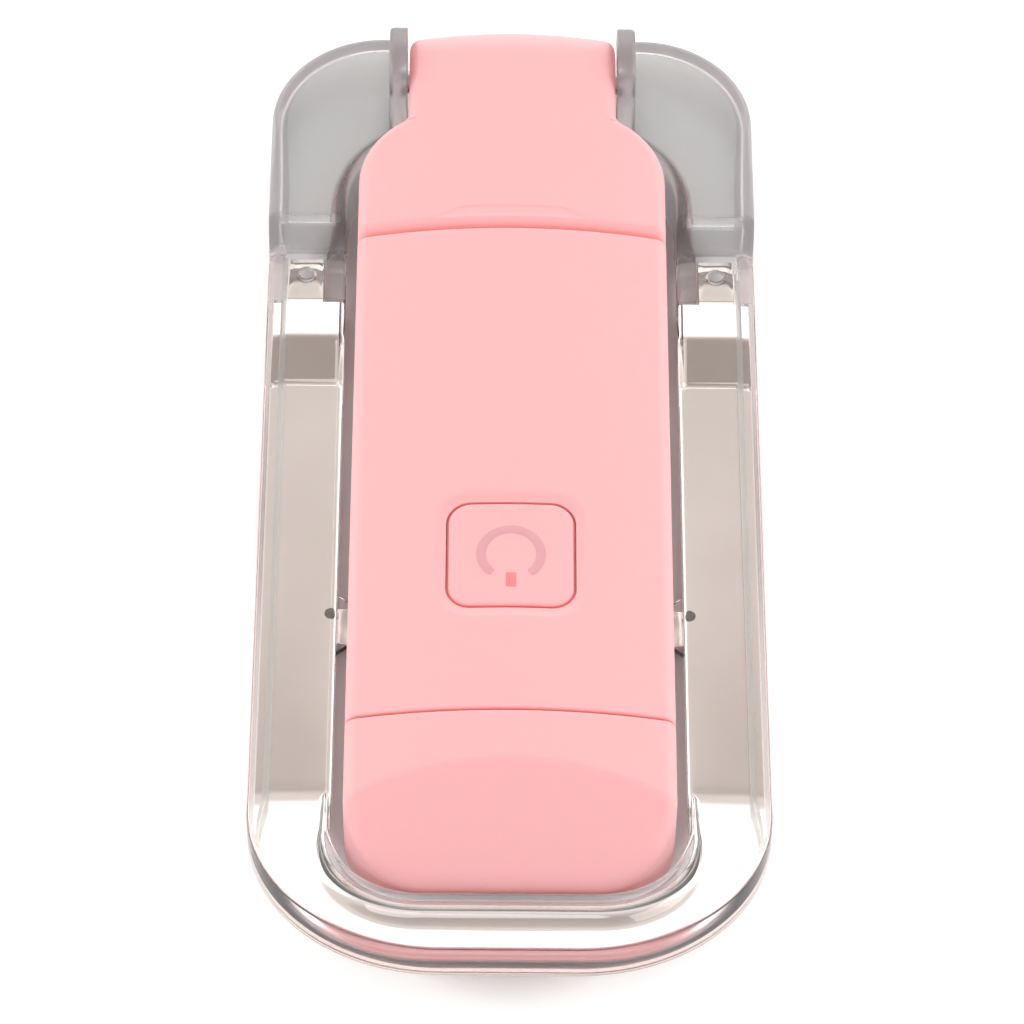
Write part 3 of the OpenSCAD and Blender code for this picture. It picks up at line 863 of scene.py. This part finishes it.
def build_hinge_cover():
    cols = spread(56, 0.16, 12)
    nc = len(cols)
    rows = dense([(SEAM_A + 0.12, SEAM_A + 0.6, 6), (SEAM_A + 0.6, 24.4, 6), (24.4, 26.2, 20),
                  (26.2, 30.0, 9), (30.0, 36.0, 28), (36.0, 38.0, 22), (38.0, AX_Y, 12)])
    verts, low = [], []
    for y in rows:
        hw = half_width(y)
        for u in cols:
            verts.append((u * hw, y, hinge_top(u * hw, y)))
        z = SPLIT_Z if y < 37.4 else 2.4
        low.append([(-hw, y, z), (hw, y, z)])
    steps = 30
    for k in range(1, steps + 1):
        t = math.pi * k / steps
        for u in cols:
            x = u * NW
            r = hinge_top(x, AX_Y) - AX_Z
            verts.append((x, AX_Y + r * math.sin(t), AX_Z + r * math.cos(t)))
    nr = len(rows) + steps
    faces = grid_faces(nr, nc)
    # skirts, end wall, neck sides and underside
    base = len(verts)
    for pair in low:
        verts.extend(pair)
    for r in range(len(rows) - 1):
        for side, col in ((0, 0), (1, nc - 1)):
            faces.append((r * nc + col, (r + 1) * nc + col, base + 2 * (r + 1) + side, base + 2 * r + side))
        faces.append((base + 2 * r, base + 2 * r + 1, base + 2 * r + 3, base + 2 * r + 2))
    faces.append(tuple(range(nc)) + (base + 1, base))
    last = base + 2 * (len(rows) - 1)
    for side, col in ((0, 0), (1, nc - 1)):
        ring = [(len(rows) - 1 + k) * nc + col for k in range(steps + 1)]
        faces.append(tuple(ring) + (last + side,))
    faces.append(tuple((nr - 1) * nc + c for c in range(nc)) + (last + 1, last))
    return make("arm_hinge_cover", verts, faces, PINK, "arm", ("hinge_cover",), 38, weld=2e-8)


def cap_half(y):
    dy = abs(y - BTN_Y) - (CAP_W / 2 - CAP_R)
    return CAP_W / 2 if dy <= 0 else CAP_W / 2 - CAP_R + math.sqrt(max(0.0, CAP_R * CAP_R - dy * dy))


def cap_top(x, y):
    """The button's face: a little below the cover, and slightly dished."""
    return crown_z(x) - 0.06 - 0.05 * (1 - min(1.0, (math.hypot(x, y - BTN_Y) / 5.4) ** 2))


def build_button():
    cols = spread(36, 0.2, 9)
    rows = [BTN_Y + CAP_W / 2 * v for v in spread(36, 0.36, 16)]
    nr, nc = len(rows), len(cols)
    verts = []
    for y in rows:
        hw = cap_half(y)
        for u in cols:
            x = u * hw
            d = -rr_distance(x, y, CAP_W, CAP_R)
            verts.append((x, y, cap_top(x, y) - fall(d, 0.32) * 0.8))
    faces = grid_faces(nr, nc)
    edge = grid_border(nr, nc)
    base, n = len(verts), len(edge)
    ledge = 1 + 2 * (CAP_GAP - 0.05) / CAP_W
    # scale and depth below the face, or height above 5: a ledge nearly fills the gap round the cap
    skirt = [(1.0, 0.2), (ledge, 0.24), (ledge, 9.15), (1.11, 9.12), (1.11, 8.56)]
    for grow, z in skirt:
        for k in edge:
            x, y, top = verts[k]
            verts.append((x * grow, BTN_Y + (y - BTN_Y) * grow, z if z > 5 else min(top, crown_z(x) - 0.2) - z))
    for k in range(n):
        j = (k + 1) % n
        faces.append((edge[k], edge[j], base + j, base + k))
        for level in range(len(skirt) - 1):
            a, b = base + level * n, base + (level + 1) * n
            faces.append((a + k, a + j, b + j, b + k))
    faces.append(tuple(base + (len(skirt) - 1) * n + k for k in range(n)))
    make("power_button_cap", verts, faces, PINK, "button", ("button_cap",), 38)
    build_power_mark()


def build_power_mark():
    """The inlaid mark: a ring open towards the nose, and a bar in its gap."""
    def skin(x, y):
        return cap_top(x, y) + 0.012

    inner_r, middle_r, outer_r, half_gap, n = 2.13, 2.54, 2.95, 38, 72
    verts = []
    for k in range(n + 1):
        a = math.radians(-90 + half_gap + (360 - 2 * half_gap) * k / n)
        end = min(k, n - k)
        trim = 0.0 if end > 2 else (0.14, 0.05, 0.01)[end]
        for r, dz in ((inner_r + trim, -0.2), (inner_r + trim, -0.01), (2.17 + trim, 0), (middle_r, 0),
                      (2.91 - trim, 0), (outer_r - trim, -0.01), (outer_r - trim, -0.2)):
            x, y = r * math.cos(a), BTN_Y + r * math.sin(a)
            verts.append((x, y, skin(x, y) + dz))
    make("power_mark_ring", verts, tube_faces(n + 1, 7), MARK, "button", ("button_icon",), 38)
    verts = []
    bar = rounded_rect(-0.45, BTN_Y - 3.45, 0.45, BTN_Y - 1.95, 0.1, 3)
    for d, dz in ((0.0, -0.2), (0.0, -0.01), (0.04, 0.0)):
        for x, y in bar:
            x2 = x * (1 - d / 0.45)
            y2 = BTN_Y - 2.7 + (y - BTN_Y + 2.7) * (1 - d / 0.75)
            verts.append((x2, y2, skin(x2, y2) + dz))
    make("power_mark_bar", verts, tube_faces(3, len(bar)), MARK_BAR, "button", (), 38)


# ---------- hinge spring ----------

def build_spring():
    """Close wound coil on the pin, one leg down to the floor and one along the arm."""
    wire, coil, turns, per_turn = 0.33, 1.7, 7, 24
    x0, x1, pitch = 2.04, -2.04, 0.583

    def on_coil(x, a):
        return Vector((x, AX_Y + coil * math.cos(a), AX_Z + coil * math.sin(a)))

    path = [Vector((2.06, AX_Y + coil, z)) for z in (1.97, 3.0, 4.2, 5.4, 6.2)]
    for k in range(turns * per_turn + 1):
        t = k / per_turn
        path.append(on_coil(x0 - t * pitch, 2 * math.pi * t))
    path += [on_coil(x1, a) for a in (0.35, 0.8, 1.2, math.pi / 2)]
    path += [Vector((x1, y, AX_Z + coil)) for y in (43.0, 40.0, 37.0, 34.2)]
    curve = bpy.data.curves.new("hinge_torsion_spring", "CURVE")
    curve.dimensions = "3D"
    spline = curve.splines.new("POLY")
    spline.points.add(len(path) - 1)
    for p, v in zip(spline.points, path):
        p.co = (v.x * 0.001, v.y * 0.001, v.z * 0.001, 1)
    curve.bevel_depth = wire * 0.001
    curve.bevel_resolution = 4
    curve.use_fill_caps = True
    helper = bpy.data.objects.new("helper_spring", curve)
    bpy.context.collection.objects.link(helper)
    dg = bpy.context.evaluated_depsgraph_get()
    mesh = bpy.data.meshes.new_from_object(helper.evaluated_get(dg))
    mesh.name = "hinge_torsion_spring"
    bpy.data.objects.remove(helper)
    bpy.data.curves.remove(curve)
    obj = bpy.data.objects.new("hinge_torsion_spring", mesh)
    bpy.context.collection.objects.link(obj)
    mesh.materials.clear()
    mesh.materials.append(SPRING_STEEL)
    for p in mesh.polygons:
        p.use_smooth = True
    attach(obj, "frame")
    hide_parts("hinge_spring")


build_clear_frame()
build_jaw_plate()
build_covers()
build_hinge_cover()
build_button()
build_spring()

# ---------- CAD nodes that stay ----------

# material and edge rounding in millimetres of each CAD node that stays
KEPT = {
    "hinge_pin": (PIN_STEEL, 0.15),
    "arm_base": (PINK, 0.28),
    "arm_screws": (SCREW_STEEL, 0.06),
    "battery": (FOIL, 0.3),
    "battery_pad": (FOAM, 0.0),
    "battery_lead_positive": (RED, 0.0),
    "battery_lead_negative": (SLEEVE, 0.0),
    "circuit_board": (BOARD, 0.05),
    "controller_chip": (BLACK, 0.08),
    "tact_switch": (BLACK, 0.12),
    "indicator_led": (CREAM, 0.06),
    "charge_port": (PIN_STEEL, 0.08),
    "port_tongue": (BLACK, 0.05),
    "lash_pad": (SILICONE, 0.25),
    "heater_plate": (ALLOY, 0.08),
    "heating_film": (FILM, 0.0),
    "heater_insulator": (CREAM, 0.1),
    "thermistor": (BLACK, 0.0),
    "heater_leads": (WHITE, 0.0),
    "switch_plunger": (CREAM, 0.12),
}
for obj in list(bpy.data.objects):
    node = obj.name.split(".")[0]
    key = next((k for k in KEPT if obj.type == "MESH" and (node == k or obj.get("node") == k)), None)
    if key is None:
        continue
    material, width = KEPT[key]
    obj.data.materials.clear()
    obj.data.materials.append(material)
    if width:
        mod = obj.modifiers.new("edge", "BEVEL")
        mod.width = width * 0.001
        mod.segments = 3
        mod.limit_method = "ANGLE"
        mod.angle_limit = math.radians(50)
        mod.harden_normals = True

# ---------- stage, light, camera ----------

FLOOR_SIZE, FLOOR_Z = 3.0, -0.0002
SHADE_X, SHADE_Y = 0.0225, 0.0505  # half axes of the ellipse under the tool without added light


def stage_floor():
    """A white floor, with some light of its own all round the tool."""
    m, nt, b = node_material("floor_white")
    white = ramp(nt, noise(nt, 6, 2), [(0.3, (0.93, 0.93, 0.93)), (0.7, (0.95, 0.95, 0.95))])
    nt.links.new(white, b.inputs["Base Color"])
    b.inputs["Roughness"].default_value = 0.9
    b.inputs["Emission Color"].default_value = (1.0, 1.0, 1.0, 1.0)
    tc = nt.nodes.new("ShaderNodeTexCoord")
    scale = nt.nodes.new("ShaderNodeVectorMath")
    scale.operation = "MULTIPLY"
    scale.inputs[1].default_value = (1 / SHADE_X, 1 / SHADE_Y, 0.0)
    size = nt.nodes.new("ShaderNodeVectorMath")
    size.operation = "LENGTH"
    glow = nt.nodes.new("ShaderNodeMapRange")
    glow.inputs["From Min"].default_value = 0.92
    glow.inputs["From Max"].default_value = 1.0
    glow.inputs["To Max"].default_value = 0.3
    nt.links.new(tc.outputs["Object"], scale.inputs[0])
    nt.links.new(scale.outputs["Vector"], size.inputs[0])
    nt.links.new(size.outputs["Value"], glow.inputs["Value"])
    nt.links.new(glow.outputs["Result"], b.inputs["Emission Strength"])
    mesh = bpy.data.meshes.new("floor")
    s = FLOOR_SIZE
    mesh.from_pydata([(x, y, FLOOR_Z) for x, y in ((-s, -s), (s, -s), (s, s), (-s, s))], [], [(0, 1, 2, 3)])
    floor = bpy.data.objects.new("floor", mesh)
    bpy.context.collection.objects.link(floor)
    mesh.materials.append(m)


def area(name, loc, size, power):
    """A soft light aimed at the tool, left out of its reflections."""
    light = bpy.data.lights.new(name, "AREA")
    light.shape = "RECTANGLE"
    light.size, light.size_y = size
    light.energy = power
    obj = bpy.data.objects.new(name, light)
    bpy.context.collection.objects.link(obj)
    obj.location = loc
    obj.rotation_euler = (-Vector(loc)).to_track_quat("-Z", "Y").to_euler()
    obj.visible_glossy = False


def build_world():
    """Studio surroundings, brighter low down, and brighter and warmer behind than in front."""
    world = bpy.data.worlds.new("studio")
    bpy.context.scene.world = world
    world.use_nodes = True
    nt = world.node_tree
    bg = nt.nodes["Background"]
    tc = nt.nodes.new("ShaderNodeTexCoord")
    sep = nt.nodes.new("ShaderNodeSeparateXYZ")
    nt.links.new(tc.outputs["Generated"], sep.inputs["Vector"])
    behind = ramp(nt, sep.outputs["Z"], [
        (0.0, (1.0, 1.0, 1.0)), (0.60, (1.0, 1.0, 1.0)), (0.70, (0.46, 0.44, 0.42)),
        (0.814, (0.445, 0.415, 0.395)), (0.83, (0.35, 0.322, 0.303)), (0.96, (0.255, 0.222, 0.203)),
    ])
    front = ramp(nt, sep.outputs["Z"], [
        (0.0, (0.66, 0.66, 0.66)), (0.6, (0.56, 0.56, 0.56)), (0.9, (0.26, 0.235, 0.22)),
        (0.98, (0.2, 0.18, 0.17)),
    ])
    side = nt.nodes.new("ShaderNodeMapRange")
    side.inputs["From Min"].default_value = -0.25
    side.inputs["From Max"].default_value = 0.25
    nt.links.new(sep.outputs["Y"], side.inputs["Value"])
    mix = nt.nodes.new("ShaderNodeMixRGB")
    nt.links.new(side.outputs["Result"], mix.inputs["Fac"])
    nt.links.new(front, mix.inputs["Color1"])
    nt.links.new(behind, mix.inputs["Color2"])
    nt.links.new(mix.outputs["Color"], bg.inputs["Color"])
    bg.inputs["Strength"].default_value = 2.0


LENS, SHIFT_X = 175.78125, 0.001689453125  # millimetres, and a share of the width
ELEVATION, AZIMUTH, ROLL = math.radians(53.415), math.radians(-0.571), math.radians(0.892)
DISTANCE = 0.43847  # metres, like the stage and the lights


def build_camera():
    cam = bpy.data.cameras.new("camera")
    cam.sensor_width = 36.0
    cam.lens = LENS
    cam.shift_x = SHIFT_X
    cam.clip_start, cam.clip_end = 0.01, 20.0
    obj = bpy.data.objects.new("camera", cam)
    bpy.context.collection.objects.link(obj)
    flat = math.cos(ELEVATION)
    back = Vector((math.sin(AZIMUTH) * flat, -math.cos(AZIMUTH) * flat, math.sin(ELEVATION)))
    obj.location = back * DISTANCE
    obj.rotation_euler = (-back).to_track_quat("-Z", "Y").to_euler()
    obj.rotation_euler.rotate_axis("Z", ROLL)
    bpy.context.scene.camera = obj


stage_floor()
build_world()
area("key", (-0.25, -0.35, 0.75), (0.7, 0.5), 0.5)
area("fill", (0.45, 0.1, 0.6), (0.6, 0.6), 0.4)
build_camera()
bpy.context.scene.view_settings.view_transform = "Standard"
